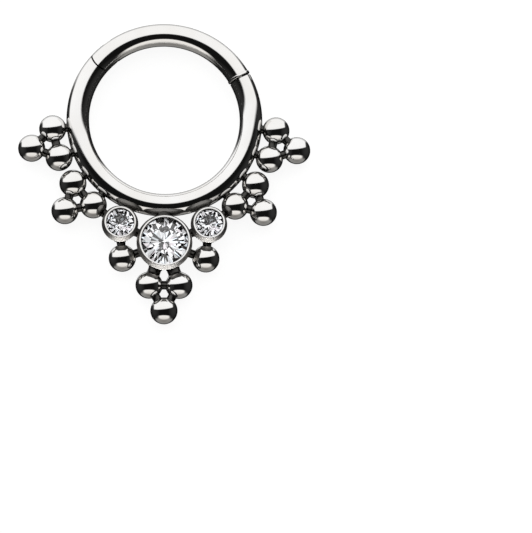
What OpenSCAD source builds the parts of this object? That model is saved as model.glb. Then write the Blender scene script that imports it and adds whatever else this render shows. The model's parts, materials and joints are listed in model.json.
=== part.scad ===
// Hinged piercing ring of round wire, with soldered beads and three stones in cups.
// Frame: the ring lies on its back. +Z is the ring's axis, the stones face +Z,
// the origin is the ring's centre on the wire's middle plane, and the centre cup
// lies towards -Y. Angles are counted from +X towards +Y.

/* [Ring] */
// Inner diameter of the closed ring
ring_inner_d = 8; // [7.8:0.1:8.2]
// Diameter of the round wire (16 gauge)
wire_d = 1.2; // [1.1:0.05:1.3]
// Angle at which the opening segment meets the ring at the latch
latch_angle = 28.8; // [20:0.2:40]
// Angle of the hinge pin
hinge_angle = 130.6; // [125:0.2:140]
// How far open the segment is drawn: 0 is latched, 84 is its stop
swing = 0; // [0:1:84]

/* [Hinge] */
// Diameter of the hinge pin
pin_d = 0.64; // [0.5:0.02:0.7]
// Radius of the segment's rounded end about the pin
knuckle_r = 0.86; // [0.8:0.02:1]
// Gap between the rounded end and its seat
knuckle_gap = 0.08; // [0.03:0.01:0.08]
// Thickness of the tongue between the fork's cheeks
tongue_t = 0.4; // [0.3:0.02:0.5]
// Gap between the tongue and each cheek
cheek_gap = 0.025; // [0.02:0.005:0.05]
// Radial clearance of the pin in the tongue
pin_clearance = 0.03; // [0.02:0.01:0.05]
// Radial clearance of the pin in the cheeks
pin_seat_gap = 0.01; // [0.01:0.01:0.03]

/* [Latch] */
// Gap between the segment's collar and the ring's end
latch_gap = 0.1; // [0.05:0.01:0.15]
// Diameter of the collar at the segment's tip
collar_d = 1.26; // [1.2:0.02:1.4]
// Thickness of the collar
collar_t = 0.14; // [0.1:0.02:0.2]
// Diameter of the latch pin's head
latch_pin_d = 0.58; // [0.5:0.02:0.62]
// Length of the latch pin
latch_pin_l = 0.42; // [0.3:0.02:0.46]
// Clearance round the latch pin in its socket
socket_clearance = 0.04; // [0.03:0.01:0.06]

/* [Beads] */
// Diameter of each round bead
bead_d = 1.44; // [1.36:0.02:1.48]
// Gap between a bead and the wire, filled by its solder neck
bead_gap = 0.03; // [0.02:0.01:0.1]
// Distance between the centres of two beads soldered side by side
bead_pitch = 1.58; // [1.54:0.02:1.62]
// How much further out a group's third bead sits than the two on the wire
third_bead_rise = 1.26; // [1.24:0.02:1.32]
// Diameter of a solder neck between beads
solder_d = 0.46; // [0.3:0.02:0.5]

/* [Cups and stones] */
// Outer diameter of the centre cup at its rim
centre_cup_d = 2.96; // [2.8:0.02:3.1]
// Diameter of the centre stone
centre_stone_d = 2.5; // [2.4:0.02:2.52]
// Outer diameter of a side cup at its rim
side_cup_d = 1.94; // [1.8:0.02:2]
// Diameter of a side stone
side_stone_d = 1.5; // [1.4:0.02:1.5]
// Height of the cups' rims over the wire's middle plane
cup_front = 1.03; // [0.96:0.01:1.2]
// Height of the band at a cup's front that leans in over the stone
bezel_h = 0.5; // [0.4:0.02:0.6]
// Width of a cup's back over the width of its front
cup_taper = 0.8; // [0.78:0.01:0.9]

/* [Hidden] */
$fn = 96;
steel = "#c9cbd0";
pin_steel = "#b4b7bd";
clear = "#eef2f6";

wire_r = wire_d / 2;
ring_r = ring_inner_d / 2 + wire_r;
bead_r = bead_d / 2;
knuckle_seat_r = knuckle_r + knuckle_gap;
tongue_r = 0.98 * wire_r;
slot_reach = wire_r + 0.04;
slot_h = tongue_t + 2 * cheek_gap;
far = 2 * wire_d;
knuckle_turn = 16;
// Turn of round surfaces about their own axis, which keeps their start line off the joints.
seam_turn = 130;
eighth = 45;

wire_out_r = ring_r + wire_r;
bead_ring_r = wire_out_r + bead_gap + bead_r;
third_bead_r = bead_ring_r + third_bead_rise;
group_half_angle = asin(bead_pitch / 2 / bead_ring_r);
down = 270;
// Middle angle of each bead group, counted from the centre cup.
group_angles = [46.8, 77.3];
side_cup_angle = 22.4;
side_cup_r = wire_out_r + side_cup_d / 2;
centre_cup_r = wire_out_r + centre_cup_d / 2;
side_bead_angle = 16.5;
side_bead_r = wire_out_r + 2.59;
// Distance from the centre cup down to the pair of beads, and from the pair to the last bead.
pair_drop = 2.22;
last_drop = bead_pitch * cos(30);

cup_back = -bead_r;
cup_floor = 0.25;
// Radius of the flat under a stone's point, over the stone's diameter.
cup_floor_share = 0.12;
// Flat lip: how far it lies inside the cup's side, its width, and how far the bevel under it
// reaches over the stone's edge.
lip_inset = 0.135;
lip_w = 0.09;
lip_hold = 0.03;
// How far the stones' widest plane lies under the rims, and the stones' clearance in the cups.
stone_sink = 0.28;
stone_top = cup_front - stone_sink;
stone_gap = 0.02;
girdle_t = 0.05;

// How far a solder neck runs into what it joins, and the wider necks' size over solder_d.
neck_sink = 0.3;
cup_neck = 2;
pair_neck = 1.5;

// Socket relief: its width across the wire, and its turn about the hinge.
relief_w = 0.56;
relief_turn = 6;
// Waist behind the latch pin's head: its size over the head's, and its length.
waist_share = 0.8;
waist_l = 0.1;

// Places in the ring's plane. The beads and side cups are placed on the -X half,
// by their angle from the centre cup, and mirrored onto the other half.
function polar(r, a) = [r * cos(a), r * sin(a)];
function from_cup(r, a) = polar(r, down - a);
function toward(p, q, d) = p + (q - p) * d / norm(q - p);

hinge_pos = polar(ring_r, hinge_angle);
centre_cup_pos = from_cup(centre_cup_r, 0);
side_cup_pos = from_cup(side_cup_r, side_cup_angle);
side_bead_pos = from_cup(side_bead_r, side_bead_angle);
pair_pos = [-bead_pitch / 2, centre_cup_pos[1] - pair_drop];
last_bead_pos = [0, pair_pos[1] - last_drop];

// Angle along the wire for a length of its centre line.
function wire_turn(length) = length / ring_r * 180 / PI;
tip_angle = latch_angle + wire_turn(latch_gap);

// Stretch of the round wire between two angles.
module wire_arc(from, to) {
    rotate([0, 0, from])
        rotate_extrude(angle = to - from)
            translate([ring_r, 0]) rotate(seam_turn) circle(r = wire_r);
}

// Moves its children to the hinge pin, with +X along the wire towards the ring's fixed end.
module at_hinge() {
    translate([hinge_pos[0], hinge_pos[1], 0]) rotate([0, 0, hinge_angle + 90]) children();
}

// Swings its children about the hinge pin.
module swung() {
    translate([hinge_pos[0], hinge_pos[1], 0])
        rotate([0, 0, swing])
            translate([-hinge_pos[0], -hinge_pos[1], 0]) children();
}

// Moves its children onto the wire, with +Z along the wire towards the latch socket.
module at_wire(angle) {
    rotate([0, 0, angle]) translate([ring_r, 0, 0]) rotate([90, 0, 0]) children();
}

// Round bar of solder between two places of the ring's plane, sunk a little into both.
module neck(p, q, p_r, q_r, d = solder_d) {
    from = toward(p, q, p_r - neck_sink);
    to = toward(q, p, q_r - neck_sink);
    way = to - from;
    translate([from[0], from[1], 0])
        rotate([0, 0, atan2(way[1], way[0])])
            rotate([seam_turn, 0, 0])
                rotate([0, 90, 0]) cylinder(d = d, h = norm(way));
}

// Neck from a place outside the ring straight into the wire.
module wire_neck(p, p_r, d = solder_d) {
    neck(p, p * ring_r / norm(p), p_r, wire_r, d);
}

module bead(p) {
    translate([p[0], p[1], 0]) rotate([0, 0, atan2(p[1], p[0])]) sphere(r = bead_r);
}

// Three beads soldered into a triangle, two of them on the wire.
module bead_group(group) {
    inner = from_cup(bead_ring_r, group - group_half_angle);
    outer = from_cup(bead_ring_r, group + group_half_angle);
    third = from_cup(third_bead_r, group);
    for (p = [inner, outer, third]) bead(p);
    neck(inner, outer, bead_r, bead_r);
    neck(inner, third, bead_r, bead_r);
    neck(outer, third, bead_r, bead_r);
    wire_neck(inner, bead_r);
    wire_neck(outer, bead_r);
}

// Cup with a closed back, a bezel that leans in to a flat lip, a bevel from the lip down over
// the stone's edge, and a cone under the stone.
module cup(p, cup_d, stone_d, turn) {
    r = cup_d / 2;
    lip_out_r = r - lip_inset;
    hold_r = stone_d / 2 - lip_hold;
    seat_r = stone_d / 2 + stone_gap;
    translate([p[0], p[1], 0])
        rotate([0, 0, turn])
        rotate_extrude()
        polygon([
            [0, cup_back],
            [r * cup_taper, cup_back],
            [r, cup_front - bezel_h],
            [lip_out_r, cup_front],
            [lip_out_r - lip_w, cup_front],
            [hold_r, stone_top + stone_gap + lip_hold],
            [seat_r, stone_top + stone_gap],
            [seat_r, stone_top - girdle_t - stone_gap],
            [stone_d * cup_floor_share, cup_back + cup_floor],
            [0, cup_back + cup_floor],
        ]);
}

// Trims the ring's fixed end to a round, bored tongue in the middle of the wire.
module hinge_end_cut() {
    at_hinge() {
        for (side = [-1, 1])
            translate([0, 0, side * (tongue_t / 2 + wire_r)])
                cylinder(r = knuckle_seat_r, h = wire_d, center = true);
        cylinder(r = pin_d / 2 + pin_clearance, h = wire_d, center = true);
        difference() {
            translate([-far, -far / 2, -far / 2]) cube(far);
            cylinder(r = tongue_r, h = 2 * far, center = true);
        }
    }
}

// Socket for the latch pin: a blind bore, opened outwards along the pin's swing.
module latch_socket() {
    depth = latch_pin_l - latch_gap + 2 * socket_clearance;
    mouth = polar(ring_r, latch_angle);
    swing_r = norm(mouth - hinge_pos);
    swing_angle = atan2(mouth[1] - hinge_pos[1], mouth[0] - hinge_pos[0]);
    bore_r = latch_pin_d / 2 + socket_clearance;
    at_wire(latch_angle) translate([0, 0, -latch_gap]) cylinder(r = bore_r, h = depth + latch_gap);
    translate([hinge_pos[0], hinge_pos[1], 0])
        rotate([0, 0, swing_angle])
            rotate_extrude(angle = relief_turn)
                translate([swing_r + relief_w / 2, 0]) square([relief_w, 2 * bore_r], center = true);
}

module ring_body() {
    color(steel)
    difference() {
        union() {
            wire_arc(hinge_angle - knuckle_turn, 360 + latch_angle);
            cup(centre_cup_pos, centre_cup_d, centre_stone_d, down + eighth);
            wire_neck(centre_cup_pos, centre_cup_d / 2, cup_neck * solder_d);
            bead(last_bead_pos);
            for (side = [0, 1])
                mirror([side, 0, 0]) {
                    for (group = group_angles) bead_group(group);
                    side_cup();
                    pair_bead();
                }
            neck(pair_pos, [-pair_pos[0], pair_pos[1]], bead_r, bead_r);
        }
        hinge_end_cut();
        latch_socket();
    }
}

// Side cup with the bead under it and the solder that joins them to the rest.
module side_cup() {
    cup_r = side_cup_d / 2;
    near_bead = from_cup(bead_ring_r, group_angles[0] - group_half_angle);
    cup(side_cup_pos, side_cup_d, side_stone_d, down - side_cup_angle - eighth);
    bead(side_bead_pos);
    neck(side_bead_pos, side_cup_pos, bead_r, cup_r);
    neck(side_bead_pos, centre_cup_pos, bead_r, centre_cup_d / 2);
    neck(near_bead, side_cup_pos, bead_r, cup_r);
    neck(side_cup_pos, centre_cup_pos, cup_r, centre_cup_d / 2);
    wire_neck(side_cup_pos, cup_r);
}

// One bead of the pair under the centre cup, and its solder.
module pair_bead() {
    bead(pair_pos);
    neck(pair_pos, last_bead_pos, bead_r, bead_r);
    neck(pair_pos, centre_cup_pos, bead_r, centre_cup_d / 2, pair_neck * solder_d);
}

// Fork slot, end rounding and pin bore of the opening segment, cut out of its wire.
// The slot is flat-ended on the ring's outside, where the tongue swings through it.
module fork_cut() {
    at_hinge() {
        translate([-slot_reach, -far, -slot_h / 2]) cube([2 * far, far, slot_h]);
        translate([0, -wire_r / 2, -slot_h / 2]) cube([far, far, slot_h]);
        cylinder(r = slot_reach, h = slot_h, center = true);
        cylinder(r = pin_d / 2 + pin_seat_gap, h = far, center = true);
        difference() {
            translate([wire_r / 2, -far / 2, -far / 2]) cube(far);
            cylinder(r = knuckle_r, h = 2 * far, center = true);
        }
    }
}

// Collar and latch pin at the free tip of the segment.
module latch_tip() {
    head_r = latch_pin_d / 2;
    at_wire(tip_angle) {
        translate([0, 0, -collar_t]) cylinder(d = collar_d, h = collar_t);
        translate([0, 0, -collar_t / 2]) cylinder(r = waist_share * head_r, h = collar_t / 2 + 2 * waist_l);
        intersection() {
            translate([0, 0, waist_l]) cylinder(r = head_r, h = latch_pin_l);
            sphere(r = latch_pin_l);
        }
    }
}

module hinge_segment() {
    color(steel) swung() {
        difference() {
            wire_arc(tip_angle + wire_turn(collar_t / 2), hinge_angle + knuckle_turn);
            fork_cut();
        }
        latch_tip();
    }
}

// Riveted pin, ground flush with the round wire.
module hinge_pin() {
    color(pin_steel) swung()
    intersection() {
        at_hinge() cylinder(d = pin_d, h = far, center = true);
        wire_arc(hinge_angle - knuckle_turn, hinge_angle + knuckle_turn);
    }
}

// Round brilliant cut, given by rings of corners from the table down to the point.
crown_h = 0.24;
table_r = 0.6;
star_r = 0.8;
pavilion_h = 0.84;
lower_r = 0.14;

// Regular ring of n corners at one height, the first at the angle given by turn.
function corner_ring(n, r, z, turn) = [
    for (k = [0 : n - 1])
        let(a = turn + k * 360 / n) [r * cos(a), r * sin(a), z]
];

module brilliant(p, d) {
    r = d / 2;
    low_girdle = -girdle_t;
    star_z = crown_h * (1 - star_r * cos(eighth / 2)) / (1 - table_r);
    lower_z = pavilion_h * (1 - lower_r * cos(eighth / 2));
    corners = concat(
        corner_ring(8, table_r * r, crown_h * r, 0),
        corner_ring(8, star_r * r, star_z * r, eighth / 2),
        corner_ring(16, r, 0, 0),
        corner_ring(16, r, low_girdle, 0),
        corner_ring(8, lower_r * r, low_girdle - lower_z * r, eighth / 2),
        [[0, 0, low_girdle - pavilion_h * r]]
    );
    star = 8;
    top = 16;
    base = 32;
    low = 48;
    point = 56;
    eight = [0 : 7];
    faces = concat(
        [[for (k = [7 : -1 : 0]) k]],
        [for (k = eight) [k, (k + 1) % 8, star + k]],
        [for (k = eight) [k, star + k, top + 2 * k, star + (k + 7) % 8]],
        [for (k = eight) [star + k, top + 2 * k + 1, top + 2 * k]],
        [for (k = eight) [star + k, top + (2 * k + 2) % 16, top + 2 * k + 1]],
        [for (k = [0 : 15]) [top + k, top + (k + 1) % 16, base + (k + 1) % 16, base + k]],
        [for (k = eight) [low + k, base + 2 * k, base + 2 * k + 1]],
        [for (k = eight) [low + k, base + 2 * k + 1, base + (2 * k + 2) % 16]],
        [for (k = eight) [point, low + (k + 7) % 8, base + 2 * k, low + k]]
    );
    translate([p[0], p[1], stone_top]) polyhedron(points = corners, faces = faces);
}

module centre_stone() {
    color(clear) brilliant(centre_cup_pos, centre_stone_d);
}

module left_stone() {
    color(clear) brilliant(side_cup_pos, side_stone_d);
}

module right_stone() {
    color(clear) mirror([1, 0, 0]) brilliant(side_cup_pos, side_stone_d);
}

ring_body();
hinge_segment();
hinge_pin();
centre_stone();
left_stone();
right_stone();
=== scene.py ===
import json
import math

import bpy
from mathutils import Matrix, Vector


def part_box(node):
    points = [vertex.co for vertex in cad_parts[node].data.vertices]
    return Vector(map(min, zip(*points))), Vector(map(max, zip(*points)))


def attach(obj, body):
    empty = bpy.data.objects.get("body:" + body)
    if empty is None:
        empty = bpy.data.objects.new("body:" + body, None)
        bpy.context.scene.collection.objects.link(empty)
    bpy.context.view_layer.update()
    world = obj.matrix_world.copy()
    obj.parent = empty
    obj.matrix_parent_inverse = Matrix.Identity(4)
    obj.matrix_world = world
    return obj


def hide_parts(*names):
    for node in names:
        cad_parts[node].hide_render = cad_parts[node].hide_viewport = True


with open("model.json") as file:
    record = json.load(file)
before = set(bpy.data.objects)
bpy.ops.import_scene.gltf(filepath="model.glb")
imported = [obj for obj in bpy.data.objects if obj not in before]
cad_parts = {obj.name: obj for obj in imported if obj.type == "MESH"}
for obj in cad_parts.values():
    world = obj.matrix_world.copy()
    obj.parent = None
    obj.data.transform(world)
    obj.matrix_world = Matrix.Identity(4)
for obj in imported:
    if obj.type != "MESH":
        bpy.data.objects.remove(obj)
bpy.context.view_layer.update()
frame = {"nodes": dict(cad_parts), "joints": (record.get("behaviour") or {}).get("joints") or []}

# The ring lies on its back: +Z is the ring's axis, the stones face +Z, and the centre cup lies
# towards -Y. Lengths are worked out in millimetres and end up in metres.
MM = 0.001
DOWN = math.radians(270)

# Sizes of the ring, in millimetres, as in the part's source
WIRE_R = 0.6
RING_R = 4.6
WIRE_OUT_R = RING_R + WIRE_R
LATCH_ANGLE = math.radians(28.8)
BEAD_R = 0.72
BEAD_GAP = 0.03
BEAD_PITCH = 1.58
THIRD_BEAD_RISE = 1.26
SOLDER_R = 0.23
SOLDER_BITE = 0.16
SIDE_CUP_FLARE = 0.2
PAIR_NECK = 1.5
PAIR_NECK_FLARE = 0.25
CUP_NECK = 2
GROUP_ANGLES = [math.radians(46.8), math.radians(77.3)]
SIDE_BEAD_ANGLE = math.radians(16.5)
SIDE_BEAD_RISE = 2.59
SIDE_BEAD_R = WIRE_OUT_R + SIDE_BEAD_RISE
PAIR_DROP = 2.22
CUP_WALL = 0.23
SIDE_CUP_WALL = 0.22
CUP_FRONT = 1.03
CUP_TAPER = 0.8
BEZEL_H = 0.5
LIP_INSET = 0.135
LIP_W = 0.09
LIP_HOLD = 0.03
LIP_SINK = 0.03
STONE_SINK = 0.28
STONE_TOP = CUP_FRONT - STONE_SINK
STONE_GAP = 0.02
GIRDLE_T = 0.05
CUP_FLOOR = 0.25
CUP_FLOOR_SHARE = 0.12
PIN_R = 0.32
KNUCKLE_R = 0.86
KNUCKLE_SEAT_R = 0.94
TONGUE_R = 0.98 * WIRE_R
TONGUE_T = 0.4
SLOT_H = 0.45
SLOT_REACH = WIRE_R + 0.04
TONGUE_BORE_R = PIN_R + 0.03
FORK_BORE_R = PIN_R + 0.01
KNUCKLE_TURN = math.radians(16)
LATCH_GAP = 0.1
COLLAR_R = 0.63
COLLAR_T = 0.14
LATCH_PIN_R = 0.29
LATCH_PIN_L = 0.42
SOCKET_CLEARANCE = 0.04
SOCKET_R = LATCH_PIN_R + SOCKET_CLEARANCE
RELIEF_W = 0.56
RELIEF_TURN = math.radians(6)


def polar(r, angle):
    return Vector((r * math.cos(angle), r * math.sin(angle), 0.0))


def from_cup(r, angle):
    return polar(r, DOWN - angle)


def down_wire(angle):
    """Direction of the latch side's wire, from its end down towards the cups."""
    return Vector((math.sin(angle), -math.cos(angle), 0.0))


def mirrored(p):
    return Vector((-p.x, p.y, p.z))


def middle(node):
    """Centre of a CAD node's box, in millimetres, laid into the ring's plane."""
    low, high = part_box(node)
    return Vector(((low.x + high.x) / 2, (low.y + high.y) / 2, 0.0)) / MM


def width(node):
    low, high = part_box(node)
    return (high.x - low.x) / MM


# Places worked out from the sizes and the frame
HINGE = Vector(frame["joints"][0]["pos_m"]) / MM
HINGE_ANGLE = math.atan2(HINGE.y, HINGE.x)
TIP_ANGLE = LATCH_ANGLE + LATCH_GAP / RING_R
CENTRE_CUP = middle("centre_stone")
LEFT_CUP = middle("left_stone")
CENTRE_STONE_R = width("centre_stone") / 2
SIDE_STONE_R = width("left_stone") / 2
CENTRE_CUP_R = CENTRE_STONE_R + CUP_WALL
SIDE_CUP_R = SIDE_STONE_R + SIDE_CUP_WALL
BEAD_RING_R = WIRE_OUT_R + BEAD_GAP + BEAD_R
THIRD_BEAD_R = BEAD_RING_R + THIRD_BEAD_RISE
GROUP_HALF = math.asin(BEAD_PITCH / 2 / BEAD_RING_R)
SIDE_BEAD = from_cup(SIDE_BEAD_R, SIDE_BEAD_ANGLE)
PAIR_BEAD = CENTRE_CUP + Vector((-BEAD_PITCH / 2, -PAIR_DROP, 0.0))
LAST_BEAD = Vector((0.0, PAIR_BEAD.y - BEAD_PITCH * math.cos(math.radians(30)), 0.0))
FLOOR_Z = -BEAD_R


# Mesh building

SHARP_ANGLE = math.radians(32)


class Shells:
    """Closed shells gathered into one mesh, with a material index for each."""

    def __init__(self):
        self.points = []
        self.faces = []
        self.slots = []

    def add(self, points, faces, slots=None):
        start = len(self.points)
        self.points += points
        self.faces += [[start + i for i in f] for f in faces]
        self.slots += slots or [0] * len(faces)

    def mesh(self, name, materials):
        data = bpy.data.meshes.new(name)
        data.from_pydata([p * MM for p in self.points], [], self.faces)
        for material in materials:
            data.materials.append(material)
        data.polygons.foreach_set("material_index", self.slots)
        data.shade_smooth()
        data.set_sharp_from_angle(angle=SHARP_ANGLE)
        data.update()
        piece = bpy.data.objects.new(name, data)
        bpy.context.scene.collection.objects.link(piece)
        return piece


def lathe(profile, place, axis=Vector((0, 0, 1)), steps=64):
    """Surface turned about an axis. The profile runs from the low end to the high end as (r, z)."""
    turn = Vector((0, 0, 1)).rotation_difference(axis).to_matrix()
    points, rings = [], []
    for r, z in profile:
        if r < 1e-9:
            rings.append([len(points)])
            points.append(place + turn @ Vector((0, 0, z)))
            continue
        rings.append(list(range(len(points), len(points) + steps)))
        for k in range(steps):
            a = 2 * math.pi * k / steps
            points.append(place + turn @ Vector((r * math.cos(a), r * math.sin(a), z)))
    faces = []
    for low, high in zip(rings, rings[1:]):
        for k in range(steps):
            n = (k + 1) % steps
            if len(low) == 1:
                faces.append([low[0], high[n], high[k]])
            elif len(high) == 1:
                faces.append([low[k], low[n], high[0]])
            else:
                faces.append([low[k], low[n], high[n], high[k]])
    if len(rings[0]) > 1:
        faces.append(rings[0][::-1])
    if len(rings[-1]) > 1:
        faces.append(rings[-1])
    return points, faces


def arc_points(centre, r, start, end, steps):
    """Points of a profile along an arc; the angles are in degrees."""
    out = []
    for k in range(steps + 1):
        a = math.radians(start + (end - start) * k / steps)
        out.append((centre[0] + r * math.cos(a), centre[1] + r * math.sin(a)))
    return out


def ball(place, r=BEAD_R, steps=64, rows=32):
    """Sphere whose poles lie along the ring's axis."""
    profile = []
    for k in range(rows + 1):
        a = -math.pi / 2 + math.pi * k / rows
        profile.append((r * math.cos(a) if 0 < k < rows else 0.0, r * math.sin(a)))
    return lathe(profile, place, steps=steps)


def solder(p, q, p_r, q_r, waist=SOLDER_R, flare=0.62):
    """Solder neck between two round bodies, thicker where it runs up each of them."""
    way = q - p
    length = way.length
    gap = length - p_r - q_r
    start = p_r - SOLDER_BITE
    end = length - q_r + SOLDER_BITE
    mid = p_r + gap / 2
    rows = 14
    profile = [(0.0, start)]
    for k in range(rows + 1):
        z = start + (end - start) * k / rows
        away = (z - mid) / ((end - start) / 2)
        profile.append((waist * (1 + flare * away ** 4), z))
    profile.append((0.0, end))
    return lathe(profile, p, way.normalized(), steps=32)


def wire(start, end, steps_per_turn=360, around=64):
    """Round wire bent to the ring's radius, with flat ends."""
    count = max(2, round((end - start) / (2 * math.pi) * steps_per_turn))
    points = []
    for i in range(count + 1):
        a = start + (end - start) * i / count
        out = polar(1, a)
        for k in range(around):
            b = 2 * math.pi * (k + 0.5) / around
            points.append(out * (RING_R + WIRE_R * math.cos(b)) + Vector((0, 0, WIRE_R * math.sin(b))))
    faces = []
    for i in range(count):
        for k in range(around):
            n = (k + 1) % around
            faces.append([i * around + k, (i + 1) * around + k, (i + 1) * around + n, i * around + n])
    faces.append(list(range(around)))
    last = count * around
    faces.append([last + k for k in reversed(range(around))])
    return points, faces


def cup(place, cup_r, stone_r):
    """Closed cup with a bezel leaning in to its lip, a bevel over the stone's edge, and a cone
    under it. The faces get slot 0 outside and 1 inside."""
    lip_r = cup_r - LIP_INSET
    seat_r = stone_r + STONE_GAP
    back_r = cup_r * CUP_TAPER
    floor_z = FLOOR_Z + CUP_FLOOR
    edge = 0.04
    belt_z = CUP_FRONT - BEZEL_H
    profile = [(0.0, FLOOR_Z)]
    profile += arc_points((back_r - edge, FLOOR_Z + edge), edge, -90, 0, 6)
    profile += [(cup_r - 0.004, belt_z - 0.05), (cup_r - 0.002, belt_z), (cup_r - 0.012, belt_z + 0.05)]
    profile += [(lip_r + 0.005, CUP_FRONT - 0.02), (lip_r - 0.03, CUP_FRONT - LIP_SINK)]
    outer_rows = len(profile)
    profile += [
        (lip_r - LIP_W + 0.012, CUP_FRONT - LIP_SINK),
        (stone_r - LIP_HOLD, STONE_TOP + STONE_GAP + LIP_HOLD),
        (seat_r, STONE_TOP + STONE_GAP),
        (seat_r, STONE_TOP - GIRDLE_T - STONE_GAP),
        (2 * stone_r * CUP_FLOOR_SHARE, floor_z),
        (0.0, floor_z),
    ]
    steps = 128
    points, faces = lathe(profile, place, steps=steps)
    return points, faces, [0 if i // steps < outer_rows else 1 for i in range(len(faces))]


def lip(place, cup_r, steps=128):
    """Flat, polished lip of a cup: a hoop with rounded edges, sunk into the cup's rim."""
    out_r = cup_r - LIP_INSET
    soft = 0.015
    profile = [(out_r - 0.005, CUP_FRONT - 2 * LIP_SINK)]
    profile += arc_points((out_r - soft, CUP_FRONT - soft), soft, 15, 90, 5)
    profile += arc_points((out_r - LIP_W + soft, CUP_FRONT - soft), soft, 90, 172, 5)
    profile.append((out_r - LIP_W + 0.01, CUP_FRONT - 2 * LIP_SINK))
    points, faces = [], []
    for i, (r, z) in enumerate(profile):
        j = (i + 1) % len(profile)
        for k in range(steps):
            a = 2 * math.pi * k / steps
            n = (k + 1) % steps
            points.append(place + Vector((r * math.cos(a), r * math.sin(a), z)))
            faces.append([i * steps + k, i * steps + n, j * steps + n, j * steps + k])
    return points, faces


# Cutting the wire's ends

def block(low, high, place, angle=0.0):
    """Box given by two corners in a turned frame, as points and faces."""
    turn = Matrix.Rotation(angle, 3, "Z")
    points = []
    for x in (low[0], high[0]):
        for y in (low[1], high[1]):
            for z in (low[2], high[2]):
                points.append(place + turn @ Vector((x, y, z)))
    faces = [[0, 1, 3, 2], [4, 6, 7, 5], [0, 4, 5, 1], [2, 3, 7, 6], [0, 2, 6, 4], [1, 5, 7, 3]]
    return points, faces


def drum(r, low, high, place, axis=Vector((0, 0, 1)), steps=128):
    return lathe([(0.0, low), (r, low), (r, high), (0.0, high)], place, axis, steps)


def body(name, *shells):
    gathered = Shells()
    for points, faces in shells:
        gathered.add(points, faces)
    return gathered.mesh(name, [])


def boolean(piece, other, operation):
    """Joins or cuts a piece with another mesh, which is then deleted."""
    step = piece.modifiers.new("cut", "BOOLEAN")
    step.operation = operation
    step.object = other
    step.solver = "EXACT"
    bpy.context.view_layer.update()
    done = bpy.data.meshes.new_from_object(piece.evaluated_get(bpy.context.evaluated_depsgraph_get()))
    piece.modifiers.clear()
    old = piece.data
    piece.data = done
    bpy.data.meshes.remove(old)
    bpy.data.objects.remove(other)


HINGE_TURN = HINGE_ANGLE + math.pi / 2
FAR = 2.4
UP = Vector((0, 0, 1))


def cut_tongue(piece):
    """Leaves a round, bored tongue in the middle of the ring's fixed end."""
    for side in (-1, 1):
        low = TONGUE_T / 2 if side > 0 else -TONGUE_T / 2 - 2 * WIRE_R
        boolean(piece, body("cutter", drum(KNUCKLE_SEAT_R, low, low + 2 * WIRE_R, HINGE)), "DIFFERENCE")
    boolean(piece, body("cutter", drum(TONGUE_BORE_R, -1, 1, HINGE)), "DIFFERENCE")
    nose = body("cutter", block((-FAR, -FAR, -FAR), (0, FAR, FAR), HINGE, HINGE_TURN))
    boolean(nose, body("cutter", drum(TONGUE_R, -2 * FAR, 2 * FAR, HINGE)), "DIFFERENCE")
    boolean(piece, nose, "DIFFERENCE")


def cut_fork(piece):
    """Fork slot, pin bore and rounded end of the opening segment."""
    half = SLOT_H / 2
    boolean(piece, body("cutter", block((-SLOT_REACH, -FAR, -half), (FAR, 0, half), HINGE, HINGE_TURN)),
            "DIFFERENCE")
    boolean(piece, body("cutter", block((0, -WIRE_R / 2, -half), (FAR, FAR, half), HINGE, HINGE_TURN)),
            "DIFFERENCE")
    boolean(piece, body("cutter", drum(SLOT_REACH, -half, half, HINGE)), "DIFFERENCE")
    boolean(piece, body("cutter", drum(FORK_BORE_R, -FAR, FAR, HINGE)), "DIFFERENCE")
    end = body("cutter", block((WIRE_R / 2, -FAR, -FAR), (FAR, FAR, FAR), HINGE, HINGE_TURN))
    boolean(end, body("cutter", drum(KNUCKLE_R, -2 * FAR, 2 * FAR, HINGE)), "DIFFERENCE")
    boolean(piece, end, "DIFFERENCE")


def cut_socket(piece):
    """Blind bore for the latch pin, opened outwards along the pin's swing."""
    mouth = polar(RING_R, LATCH_ANGLE)
    back = down_wire(LATCH_ANGLE)
    depth = LATCH_PIN_L - LATCH_GAP + 2 * SOCKET_CLEARANCE
    boolean(piece, body("cutter", drum(SOCKET_R, -LATCH_GAP, depth, mouth, back, 64)), "DIFFERENCE")
    reach = mouth - HINGE
    start = math.atan2(reach.y, reach.x)
    low_r, high_r = reach.length, reach.length + RELIEF_W
    points, faces, steps = [], [], 12
    for i in range(steps + 1):
        a = start + RELIEF_TURN * i / steps
        for r, z in ((low_r, -SOCKET_R), (high_r, -SOCKET_R), (high_r, SOCKET_R), (low_r, SOCKET_R)):
            points.append(HINGE + polar(r, a) + UP * z)
    for i in range(steps):
        for k in range(4):
            n = (k + 1) % 4
            faces.append([4 * i + k, 4 * i + n, 4 * i + 4 + n, 4 * i + 4 + k])
    faces.append([3, 2, 1, 0])
    faces.append([4 * steps + k for k in range(4)])
    boolean(piece, body("cutter", (points, faces)), "DIFFERENCE")


def wire_normal(p):
    """Distance from the wire's centre line, and the direction away from it."""
    away = p - polar(RING_R, math.atan2(p.y, p.x))
    return away.length, away.normalized()


def drum_normal(p, place, axis):
    away = p - place
    away -= axis * away.dot(axis)
    return away.length, away.normalized()


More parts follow.
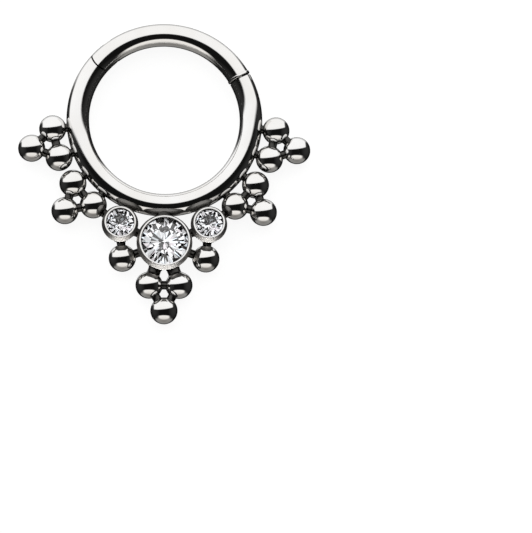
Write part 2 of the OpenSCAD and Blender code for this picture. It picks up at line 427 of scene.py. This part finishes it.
def true_normals(piece, drums):
    """Gives faces on the wire and on the drums the exact normals of those round surfaces, and
    the cut faces round the hinge pin the second material, a near-black one that paints shade into the
    hinge seam."""
    data = piece.data
    cut_reach = 1.2
    close = 0.004
    normals = [None] * len(data.loops)
    for face in data.polygons:
        loops = [(i, data.vertices[data.loops[i].vertex_index].co / MM) for i in face.loop_indices]
        centre = face.center / MM
        found = None
        if all(abs(wire_normal(p)[0] - WIRE_R) < close for i, p in loops):
            if wire_normal(centre)[1].dot(face.normal) > 0.9:
                found = [wire_normal(p)[1] for i, p in loops]
        # Cut faces near the hinge get the near-black material that paints the seam's shade
        face.material_index = 0 if found or (centre - HINGE).length > cut_reach else 1
        for place, r, axis in drums:
            if found or not all(abs(drum_normal(p, place, axis)[0] - r) < close for i, p in loops):
                continue
            side = drum_normal(centre, place, axis)[1].dot(face.normal)
            if abs(side) > 0.9:
                found = [drum_normal(p, place, axis)[1] * math.copysign(1, side) for i, p in loops]
        for k, (i, p) in enumerate(loops):
            normals[i] = found[k] if found else face.normal.copy()
    data.shade_smooth()
    data.normals_split_custom_set(normals)


# Materials

class Graph:
    """Small helper for a node material."""

    def __init__(self, name):
        self.material = bpy.data.materials.new(name)
        self.material.use_nodes = True
        self.nodes = self.material.node_tree.nodes
        self.links = self.material.node_tree.links
        self.shader = self.nodes["Principled BSDF"]
        self.output = self.nodes["Material Output"]

    def node(self, kind, values=None, **settings):
        made = self.nodes.new("ShaderNode" + kind)
        for key, value in settings.items():
            setattr(made, key, value)
        for key, value in (values or {}).items():
            made.inputs[key].default_value = value
        return made

    def link(self, a, b):
        self.links.new(a, b)


def steel(name, color, rough, spread, scratch, reach):
    """Polished steel with roughness that varies a little, faint polishing marks, a film in places,
    and painted shade that darkens the colour in crevices narrower than reach, in metres; a reach of 0
    leaves it out."""
    g = Graph(name)
    place = g.node("TexCoord")
    shine = g.node("TexNoise", {"Scale": 900.0, "Detail": 5.0, "Roughness": 0.6})
    g.link(place.outputs["Object"], shine.inputs["Vector"])
    rough_range = g.node("MapRange", {
        "From Min": 0.3, "From Max": 0.7, "To Min": rough, "To Max": rough + spread,
    })
    g.link(shine.outputs["Fac"], rough_range.inputs["Value"])
    g.link(rough_range.outputs["Result"], g.shader.inputs["Roughness"])

    film = g.node("TexNoise", {"Scale": 420.0, "Detail": 3.0, "Roughness": 0.5})
    g.link(place.outputs["Object"], film.inputs["Vector"])
    tint = g.node("ValToRGB")
    tint.color_ramp.elements[0].position = 0.35
    tint.color_ramp.elements[0].color = (color[0] * 0.93, color[1] * 0.92, color[2] * 0.9, 1.0)
    tint.color_ramp.elements[1].position = 0.7
    tint.color_ramp.elements[1].color = (*color, 1.0)
    g.link(film.outputs["Fac"], tint.inputs["Fac"])

    if reach > 0:
        # Painted shade: ambient occlusion turns the base colour near-black in crevices, seams and between
        # touching parts
        closeness = g.node("AmbientOcclusion", {"Distance": reach}, samples=8)
        crevice_shade_amount = g.node("MapRange", {"From Min": 0.3, "From Max": 0.82, "To Min": 0.0, "To Max": 1.0})
        g.link(closeness.outputs["AO"], crevice_shade_amount.inputs["Value"])
        # Near-black colour painted into crevices as shade
        painted_crevice_shade = g.node("Mix", data_type="RGBA")
        painted_crevice_shade.inputs["A"].default_value = (0.02, 0.019, 0.018, 1.0)
        g.link(crevice_shade_amount.outputs["Result"], painted_crevice_shade.inputs["Factor"])
        g.link(tint.outputs["Color"], painted_crevice_shade.inputs["B"])
        g.link(painted_crevice_shade.outputs["Result"], g.shader.inputs["Base Color"])
    else:
        g.link(tint.outputs["Color"], g.shader.inputs["Base Color"])

    stretch = g.node("Mapping")
    stretch.inputs["Scale"].default_value = (1.0, 1.0, 14.0)
    g.link(place.outputs["Object"], stretch.inputs["Vector"])
    marks = g.node("TexNoise", {"Scale": 2600.0, "Detail": 4.0, "Roughness": 0.7})
    g.link(stretch.outputs["Vector"], marks.inputs["Vector"])
    bump = g.node("Bump", {"Strength": scratch, "Distance": 0.00001})
    g.link(marks.outputs["Fac"], bump.inputs["Height"])
    g.link(bump.outputs["Normal"], g.shader.inputs["Normal"])
    g.shader.inputs["Metallic"].default_value = 1.0
    return g.material


def stone_material(name, ior, color):
    """Clear cut stone with a very faint cool tint."""
    g = Graph(name)
    g.shader.inputs["Base Color"].default_value = (*color, 1.0)
    g.shader.inputs["Transmission Weight"].default_value = 1.0
    g.shader.inputs["IOR"].default_value = ior
    place = g.node("TexCoord")
    film = g.node("TexNoise", {"Scale": 700.0, "Detail": 2.0})
    g.link(place.outputs["Object"], film.inputs["Vector"])
    rough = g.node("MapRange", {"From Min": 0.45, "From Max": 0.75, "To Min": 0.0, "To Max": 0.015})
    g.link(film.outputs["Fac"], rough.inputs["Value"])
    g.link(rough.outputs["Result"], g.shader.inputs["Roughness"])
    return g.material


# The last argument sets how far painted crevice shade reaches: a little on polished steel, more on the
# beads for dark contacts between them
POLISHED = steel("polished_steel", (0.86, 0.855, 0.85), 0.045, 0.05, 0.05, 0.00012)
BEAD_STEEL = steel("bead_steel", (0.86, 0.855, 0.85), 0.045, 0.05, 0.05, 0.00045)
# Solder necks: real joints, given a near-black colour that paints the shade between touching beads and
# cups
SOLDER_AND_SHADE = steel("solder_and_painted_shade", (0.08, 0.078, 0.075), 0.22, 0.16, 0.2, 0.0003)
# Sawn faces round the hinge: near-black colour painted as the shade inside the hinge seam
SAWN_AND_SHADE = steel("sawn_faces_painted_shade", (0.06, 0.058, 0.056), 0.3, 0.12, 0.2, 0.0002)
# Cups' outside: satin roughness, with a darkened colour that paints the dark reflections on the cups'
# sides
SATIN_AND_SHADE = steel("satin_steel_painted_shade", (0.27, 0.265, 0.26), 0.48, 0.04, 0.02, 0.0)
# Inside of the cups: near-black colour painted as the shade on the bezel's inner wall round each stone
CUP_INSIDE_SHADE = steel("cup_inside_painted_shade", (0.14, 0.137, 0.134), 0.02, 0.03, 0.02, 0.0)
STONE = stone_material("clear_stone", 2.16, (0.985, 0.99, 1.0))
SIDE_STONE = stone_material("clear_side_stone", 1.62, (0.9, 0.905, 0.92))


# The ring's own pieces

def two_steels(piece):
    """Polished steel, and near-black steel for the sawn faces round the hinge, painted shade for the dark
    seam.
    It comes before true_normals, which gives each face one of the two."""
    piece.data.materials.clear()
    piece.data.materials.append(POLISHED)
    piece.data.materials.append(SAWN_AND_SHADE)


ring_wire = body("ring_wire", wire(HINGE_ANGLE - KNUCKLE_TURN, 2 * math.pi + LATCH_ANGLE))
cut_tongue(ring_wire)
cut_socket(ring_wire)
two_steels(ring_wire)
true_normals(ring_wire, [
    (HINGE, KNUCKLE_SEAT_R, UP),
    (HINGE, TONGUE_R, UP),
    (HINGE, TONGUE_BORE_R, UP),
    (polar(RING_R, LATCH_ANGLE), SOCKET_R, down_wire(LATCH_ANGLE)),
])

segment_wire = body("segment_wire", wire(TIP_ANGLE + COLLAR_T / 2 / RING_R, HINGE_ANGLE + KNUCKLE_TURN))
cut_fork(segment_wire)
two_steels(segment_wire)
true_normals(segment_wire, [
    (HINGE, KNUCKLE_R, UP),
    (HINGE, SLOT_REACH, UP),
    (HINGE, FORK_BORE_R, UP),
])

pin = body("riveted_pin", drum(FORK_BORE_R, -FAR, FAR, HINGE, steps=96))
boolean(pin, body("cutter", wire(HINGE_ANGLE - KNUCKLE_TURN, HINGE_ANGLE + KNUCKLE_TURN)), "INTERSECT")
true_normals(pin, [(HINGE, FORK_BORE_R, UP)])
pin.data.materials.clear()
pin.data.materials.append(POLISHED)


def latch_tip():
    """Collar and latch pin at the segment's free tip."""
    tip = polar(RING_R, TIP_ANGLE)
    way = down_wire(TIP_ANGLE)
    edge = 0.03
    collar = [(0.0, -COLLAR_T)]
    collar += arc_points((COLLAR_R - edge, -COLLAR_T + edge), edge, -90, 0, 5)
    collar += arc_points((COLLAR_R - edge, -edge), edge, 0, 90, 5)
    collar += [(0.0, 0.0)]
    waist_r = 0.8 * LATCH_PIN_R
    waist_l = 0.1
    round_start = math.asin(LATCH_PIN_R / LATCH_PIN_L)
    nose_rows = 8
    pin_profile = [
        (0.0, -COLLAR_T / 2), (waist_r, -COLLAR_T / 2), (waist_r, waist_l), (LATCH_PIN_R, waist_l),
    ]
    for k in range(nose_rows + 1):
        a = round_start * (1 - k / nose_rows)
        pin_profile.append((LATCH_PIN_L * math.sin(a), LATCH_PIN_L * math.cos(a)))
    shells = Shells()
    shells.add(*lathe(collar, tip, way, 96))
    shells.add(*lathe(pin_profile, tip, way, 64))
    return shells.mesh("latch_tip", [POLISHED])


def group_beads(group):
    inner = from_cup(BEAD_RING_R, group - GROUP_HALF)
    outer = from_cup(BEAD_RING_R, group + GROUP_HALF)
    return inner, outer, from_cup(THIRD_BEAD_R, group)


def onto_wire(p):
    return p * (RING_R / p.length)


def beads_and_solder():
    """All the beads, and every solder neck with the radii of what it joins."""
    beads, necks = [LAST_BEAD], []
    for group in GROUP_ANGLES:
        inner, outer, third = group_beads(group)
        beads += [inner, outer, third]
        necks += [(p, q, BEAD_R, BEAD_R) for p, q in ((inner, outer), (inner, third), (outer, third))]
        necks += [(p, onto_wire(p), BEAD_R, WIRE_R) for p in (inner, outer)]
    near = group_beads(GROUP_ANGLES[0])[0]
    beads += [SIDE_BEAD, PAIR_BEAD]
    necks += [
        (SIDE_BEAD, LEFT_CUP, BEAD_R, SIDE_CUP_R),
        (SIDE_BEAD, CENTRE_CUP, BEAD_R, CENTRE_CUP_R),
        (near, LEFT_CUP, BEAD_R, SIDE_CUP_R),
        (LEFT_CUP, CENTRE_CUP, SIDE_CUP_R, CENTRE_CUP_R),
        (LEFT_CUP, onto_wire(LEFT_CUP), SIDE_CUP_R, WIRE_R, SOLDER_R, SIDE_CUP_FLARE),
        (PAIR_BEAD, LAST_BEAD, BEAD_R, BEAD_R),
        (PAIR_BEAD, CENTRE_CUP, BEAD_R, CENTRE_CUP_R, PAIR_NECK * SOLDER_R, PAIR_NECK_FLARE),
    ]
    beads += [mirrored(p) for p in beads[1:]]
    necks += [(mirrored(n[0]), mirrored(n[1]), *n[2:]) for n in necks]
    necks.append((PAIR_BEAD, mirrored(PAIR_BEAD), BEAD_R, BEAD_R))
    necks.append((CENTRE_CUP, onto_wire(CENTRE_CUP), CENTRE_CUP_R, WIRE_R, CUP_NECK * SOLDER_R, 0.0))
    return beads, necks


bead_places, neck_list = beads_and_solder()
bead_shells = Shells()
for bead_place in bead_places:
    bead_shells.add(*ball(bead_place))
beads = bead_shells.mesh("beads", [BEAD_STEEL])

neck_shells = Shells()
for neck in neck_list:
    neck_shells.add(*solder(*neck))
solder_necks = neck_shells.mesh("solder_necks", [SOLDER_AND_SHADE])

cup_shells = Shells()
lip_shells = Shells()
for cup_place, cup_r, stone_r in (
    (CENTRE_CUP, CENTRE_CUP_R, CENTRE_STONE_R),
    (LEFT_CUP, SIDE_CUP_R, SIDE_STONE_R),
    (mirrored(LEFT_CUP), SIDE_CUP_R, SIDE_STONE_R),
):
    cup_shells.add(*cup(cup_place, cup_r, stone_r))
    lip_shells.add(*lip(cup_place, cup_r))
# Both cup materials are darkened as painted shade, outside and inside
cups = cup_shells.mesh("cups", [SATIN_AND_SHADE, CUP_INSIDE_SHADE])
cup_lips = lip_shells.mesh("cup_lips", [POLISHED])

tip = latch_tip()

for piece in (ring_wire, beads, solder_necks, cups, cup_lips):
    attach(piece, "ring")
    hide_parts("ring_body")
for piece in (segment_wire, tip):
    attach(piece, "segment")
    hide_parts("hinge_segment")
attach(pin, "segment")
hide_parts("hinge_pin")
for name, cut_glass in (("centre_stone", STONE), ("left_stone", SIDE_STONE), ("right_stone", SIDE_STONE)):
    stone = frame["nodes"][name]
    stone.data.materials.clear()
    stone.data.materials.append(cut_glass)


# Floor, studio and camera

def floor_material():
    """Plain pale board, lit from within a little like a light table."""
    g = Graph("pale_floor")
    place = g.node("TexCoord")
    grain = g.node("TexNoise", {"Scale": 60.0, "Detail": 3.0})
    g.link(place.outputs["Object"], grain.inputs["Vector"])
    tone = g.node("ValToRGB")
    tone.color_ramp.elements[0].color = (0.25, 0.25, 0.249, 1.0)
    tone.color_ramp.elements[1].color = (0.28, 0.28, 0.279, 1.0)
    g.link(grain.outputs["Fac"], tone.inputs["Fac"])
    g.link(tone.outputs["Color"], g.shader.inputs["Base Color"])
    g.shader.inputs["Roughness"].default_value = 0.9
    g.shader.inputs["Specular IOR Level"].default_value = 0.0
    g.shader.inputs["Emission Color"].default_value = (1.0, 1.0, 1.0, 1.0)
    g.shader.inputs["Emission Strength"].default_value = 0.9
    return g.material


FLOOR_SIDE = 1.2
floor_shells = Shells()
corner = FLOOR_SIDE / 2 / MM
corners = ((-corner, -corner), (corner, -corner), (corner, corner), (-corner, corner))
floor_shells.add([Vector((x, y, FLOOR_Z)) for x, y in corners], [[0, 1, 2, 3]])
floor = floor_shells.mesh("floor", [floor_material()])
floor.visible_glossy = False

# Photograph: size, place of the ring's centre, and scale
PHOTO_W = 532
PHOTO_H = 533
RING_PX = (164.44, 120.18)
PX_PER_MM = 18.83
DISTANCE = 350.0
SENSOR = 36.0

# Viewing direction: from the ring's centre to the camera, with the picture's right and up
TO_CAMERA = Vector((-0.032, -0.2, 0.979)).normalized()
RIGHT = Vector((0.9994, 0.0026, 0.0332)).normalized()
PIC_UP = TO_CAMERA.cross(RIGHT).normalized()


def studio_world():
    """Broad white canopy above the ring, a smaller cream board below it, and dark round the lens."""
    world = bpy.data.worlds.new("studio")
    world.use_nodes = True
    nodes, links = world.node_tree.nodes, world.node_tree.links
    nodes.clear()

    def node(kind, **settings):
        made = nodes.new("ShaderNode" + kind)
        for key, value in settings.items():
            setattr(made, key, value)
        return made

    direction = node("TexCoord")

    def along(axis):
        dot = node("VectorMath", operation="DOT_PRODUCT")
        dot.inputs[1].default_value = axis
        links.new(direction.outputs["Generated"], dot.inputs[0])
        shift = node("MapRange")
        shift.inputs["From Min"].default_value = -1.0
        shift.inputs["From Max"].default_value = 1.0
        links.new(dot.outputs["Value"], shift.inputs["Value"])
        return shift.outputs["Result"]

    def unit_ramp(value, stops):
        made = node("ValToRGB")
        elements = made.color_ramp.elements
        elements.remove(elements[-1])
        for i, (at, color) in enumerate(stops):
            stop = elements[0] if i == 0 else elements.new(at)
            stop.position = at
            stop.color = (*color, 1.0) if isinstance(color, tuple) else (color, color, color, 1.0)
        links.new(value, made.inputs["Fac"])
        return made.outputs["Color"]

    def ramp(value, stops):
        return unit_ramp(value, [((at + 1) / 2, color) for at, color in stops])

    def mixed(a, b, kind):
        mix = node("Mix", data_type="RGBA", blend_type=kind)
        mix.inputs["Factor"].default_value = 1.0
        links.new(a, mix.inputs["A"])
        links.new(b, mix.inputs["B"])
        return mix.outputs["Result"]

    up, side, front = along(PIC_UP), along(RIGHT), along(TO_CAMERA)
    canopy = ramp(along(PIC_UP - 0.12 * RIGHT), [
        (-1.0, 0.0), (0.235, 0.0), (0.305, 0.96), (0.6, 1.0), (1.0, 1.0),
    ])
    canopy = mixed(canopy, ramp(front, [(-1.0, 0.4), (-0.75, 0.55), (-0.5, 1.0), (1.0, 1.0)]), "MULTIPLY")
    left_edge = [(-1.0, 1.0), (0.84, 1.0), (0.9, 0.03), (1.0, 0.0)]
    right_edge = [(-1.0, 1.0), (0.74, 1.0), (0.81, 0.03), (1.0, 0.0)]
    canopy = mixed(canopy, ramp(along((-RIGHT - 0.6 * TO_CAMERA) / 1.2), left_edge), "MULTIPLY")
    canopy = mixed(canopy, ramp(along((RIGHT - 0.6 * TO_CAMERA) / 1.2), right_edge), "MULTIPLY")
    board = ramp(up, [
        (-1.0, (0.62, 0.59, 0.56)), (-0.92, (0.8, 0.78, 0.75)), (-0.75, (0.92, 0.9, 0.87)),
        (-0.655, (0.94, 0.92, 0.89)), (-0.585, 0.0), (1.0, 0.0),
    ])
    board = mixed(board, ramp(side, [
        (-1.0, 0.0), (-0.72, 0.05), (-0.55, 1.0), (0.55, 1.0), (0.72, 0.05), (1.0, 0.0),
    ]), "MULTIPLY")
    board = mixed(board, ramp(front, [
        (-1.0, 0.2), (-0.6, 0.26), (0.0, 0.34), (0.14, 0.5), (0.3, 1.0), (1.0, 1.0),
    ]), "MULTIPLY")
    gloom = ramp(side, [
        (-1.0, 0.03), (-0.85, 0.02), (-0.6, 0.006), (0.6, 0.006), (0.85, 0.02), (1.0, 0.03),
    ])
    pattern = mixed(mixed(canopy, board, "ADD"), gloom, "ADD")

    # What the stones gather from the room: small lamps, gaps and faint colours
    cells = node("TexVoronoi")
    cells.inputs["Scale"].default_value = 8.0
    links.new(direction.outputs["Generated"], cells.inputs["Vector"])
    parts = node("SeparateColor")
    links.new(cells.outputs["Color"], parts.inputs["Color"])
    glints = unit_ramp(parts.outputs["Red"], [
        (0.0, 0.0), (0.52, 0.0), (0.55, 0.6), (0.68, 0.95), (0.82, 1.25), (1.0, 1.6),
    ])
    tints = unit_ramp(parts.outputs["Green"], [
        (0.0, (0.82, 0.92, 1.0)), (0.15, (0.96, 0.98, 1.0)), (0.5, 1.0), (0.85, (1.0, 0.98, 0.99)),
        (1.0, (1.0, 0.9, 0.95)),
    ])
    glints = mixed(glints, tints, "MULTIPLY")
    stone_view = node("Mix", data_type="RGBA")
    stone_view.inputs["Factor"].default_value = 0.98
    links.new(pattern, stone_view.inputs["A"])
    links.new(glints, stone_view.inputs["B"])

    rays = node("LightPath")
    seen = node("Mix", data_type="RGBA")
    links.new(rays.outputs["Is Transmission Ray"], seen.inputs["Factor"])
    links.new(pattern, seen.inputs["A"])
    links.new(stone_view.outputs["Result"], seen.inputs["B"])
    studio = node("Background")
    studio.inputs["Strength"].default_value = 1.1
    links.new(seen.outputs["Result"], studio.inputs["Color"])
    backdrop = node("Background")
    backdrop.inputs["Color"].default_value = (0.93, 0.93, 0.925, 1.0)
    choose = node("MixShader")
    output = node("OutputWorld")
    links.new(rays.outputs["Is Camera Ray"], choose.inputs["Fac"])
    links.new(studio.outputs["Background"], choose.inputs[1])
    links.new(backdrop.outputs["Background"], choose.inputs[2])
    links.new(choose.outputs["Shader"], output.inputs["Surface"])
    bpy.context.scene.world = world


def cup_card():
    """Soft light from below that only the cups' leaning sides catch."""
    light = bpy.data.lights.new("cup_card", "AREA")
    light.shape = "RECTANGLE"
    light.size = 0.04
    light.size_y = 0.045
    light.energy = 0.03
    light.color = (1.0, 0.98, 0.95)
    light.cycles.use_multiple_importance_sampling = False
    card = bpy.data.objects.new("cup_card", light)
    bpy.context.scene.collection.objects.link(card)
    way = Vector((0.0, -0.55, -0.8)).normalized()
    distance = 0.06
    card.location = CENTRE_CUP * MM + way * distance
    card.rotation_euler = way.to_track_quat("Z", "Y").to_euler()
    card.visible_camera = False
    lit = bpy.data.collections.new("cup_card_lit")
    lit.objects.link(cups)
    card.light_linking.receiver_collection = lit
    card.light_linking.blocker_collection = lit


studio_world()
cup_card()
bpy.context.scene.view_settings.view_transform = "Standard"

focal_px = PX_PER_MM * DISTANCE
lens = bpy.data.cameras.new("camera")
lens.lens = focal_px * SENSOR / PHOTO_H
lens.sensor_width = SENSOR
lens.clip_start = 0.005
lens.clip_end = 5.0
camera = bpy.data.objects.new("camera", lens)
bpy.context.scene.collection.objects.link(camera)
facing = Matrix((RIGHT, PIC_UP, TO_CAMERA)).transposed()
aim = Vector((RING_PX[0] - PHOTO_W / 2, PHOTO_H / 2 - RING_PX[1], -focal_px)).normalized()
turn = aim.rotation_difference(Vector((0, 0, -1))).to_matrix()
camera.matrix_world = Matrix.Translation(TO_CAMERA * DISTANCE * MM) @ (facing @ turn).to_4x4()
bpy.context.scene.camera = camera
